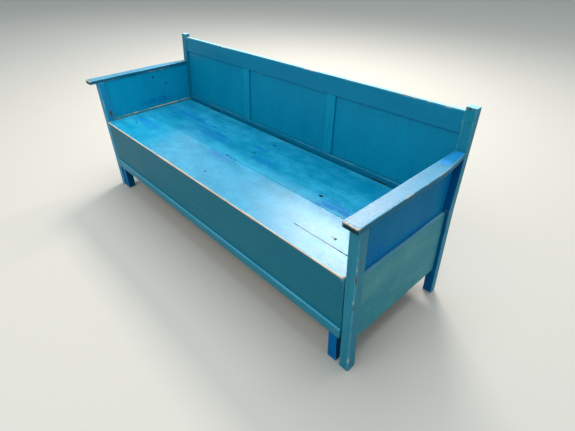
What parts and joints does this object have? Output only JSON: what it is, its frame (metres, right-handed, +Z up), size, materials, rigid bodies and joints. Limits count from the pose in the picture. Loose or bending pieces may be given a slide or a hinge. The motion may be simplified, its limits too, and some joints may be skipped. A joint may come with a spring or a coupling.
{
  "type": "pull-out settle bench",
  "caption": "Painted wooden settle with a panelled back and arms, a hinged seat lid over a storage box, and a slatted bed base on legs that slides out at the front.",
  "frame": {"origin": "on the floor, under the centre of the whole bench's box at rest", "axes": "+X along the seat towards the right arm as seen from in front, +Y from the front towards the back, +Z up"},
  "size_m": [1.944, 0.6622, 0.832],
  "materials": {
    "faded_blue_paint": "old semi-gloss oil paint, faded towards teal, chipped to brown wood at the edges",
    "bright_blue_paint": "the same paint where it is sheltered and still a strong blue",
    "worn_seat_paint": "glossy light blue paint, rubbed through to a deeper blue in patches",
    "bare_pine": "unpainted sawn pine, aged",
    "dark_steel": "dull dark steel"
  },
  "bodies": {
    "frame": {"fixed_slat_1": "bare_pine", "fixed_slat_2": "bare_pine", "fixed_slat_3": "bare_pine", "fixed_slat_4": "bare_pine", "fixed_slat_5": "bare_pine", "fixed_slat_6": "bare_pine", "fixed_slat_7": "bare_pine", "front_bearer": "bare_pine", "left_arm": "faded_blue_paint", "left_back_panel": "faded_blue_paint", "left_front_post": "faded_blue_paint", "left_hinge_fixed_leaf": "dark_steel", "left_hinge_pin": "dark_steel", "left_lid_cleat": "bare_pine", "left_muntin": "faded_blue_paint", "left_rear_post": "faded_blue_paint", "left_side_board": "faded_blue_paint", "left_side_panel": "bright_blue_paint", "lower_back_board": "faded_blue_paint", "middle_back_panel": "faded_blue_paint", "middle_hinge_fixed_leaf": "dark_steel", "middle_hinge_pin": "dark_steel", "rear_bearer": "bare_pine", "right_arm": "faded_blue_paint", "right_back_panel": "faded_blue_paint", "right_front_post": "faded_blue_paint", "right_hinge_fixed_leaf": "dark_steel", "right_hinge_pin": "dark_steel", "right_lid_cleat": "bare_pine", "right_muntin": "faded_blue_paint", "right_rear_post": "faded_blue_paint", "right_side_board": "faded_blue_paint", "right_side_panel": "bright_blue_paint", "top_rail": "faded_blue_paint"},
    "lid": {"front_lid_board": "worn_seat_paint", "left_hinge_lid_leaf": "dark_steel", "left_lid_batten": "bare_pine", "middle_hinge_lid_leaf": "dark_steel", "middle_lid_batten": "bare_pine", "rear_lid_board": "worn_seat_paint", "right_hinge_lid_leaf": "dark_steel", "right_lid_batten": "bare_pine"},
    "pull_out_bed": {"front_board": "faded_blue_paint", "front_moulding": "faded_blue_paint", "front_slat_cleat": "bare_pine", "left_drawer_leg": "bright_blue_paint", "left_drawer_side": "bare_pine", "rear_slat_batten": "bare_pine", "right_drawer_leg": "bright_blue_paint", "right_drawer_side": "bare_pine", "sliding_slat_1": "bare_pine", "sliding_slat_2": "bare_pine", "sliding_slat_3": "bare_pine", "sliding_slat_4": "bare_pine", "sliding_slat_5": "bare_pine", "sliding_slat_6": "bare_pine", "sliding_slat_7": "bare_pine", "sliding_slat_8": "bare_pine"}
  },
  "joints": [
    {"name": "lid_hinge", "type": "hinge", "parent": "frame", "child": "lid", "pos_m": [0, 0.26634, 0.428], "axis": [-1, 0, 0], "range_deg": [0, 94.5]},
    {"name": "bed_slide", "type": "slide", "parent": "frame", "child": "pull_out_bed", "axis": [0, -1, 0], "range_m": [0, 0.4]}
  ]
}
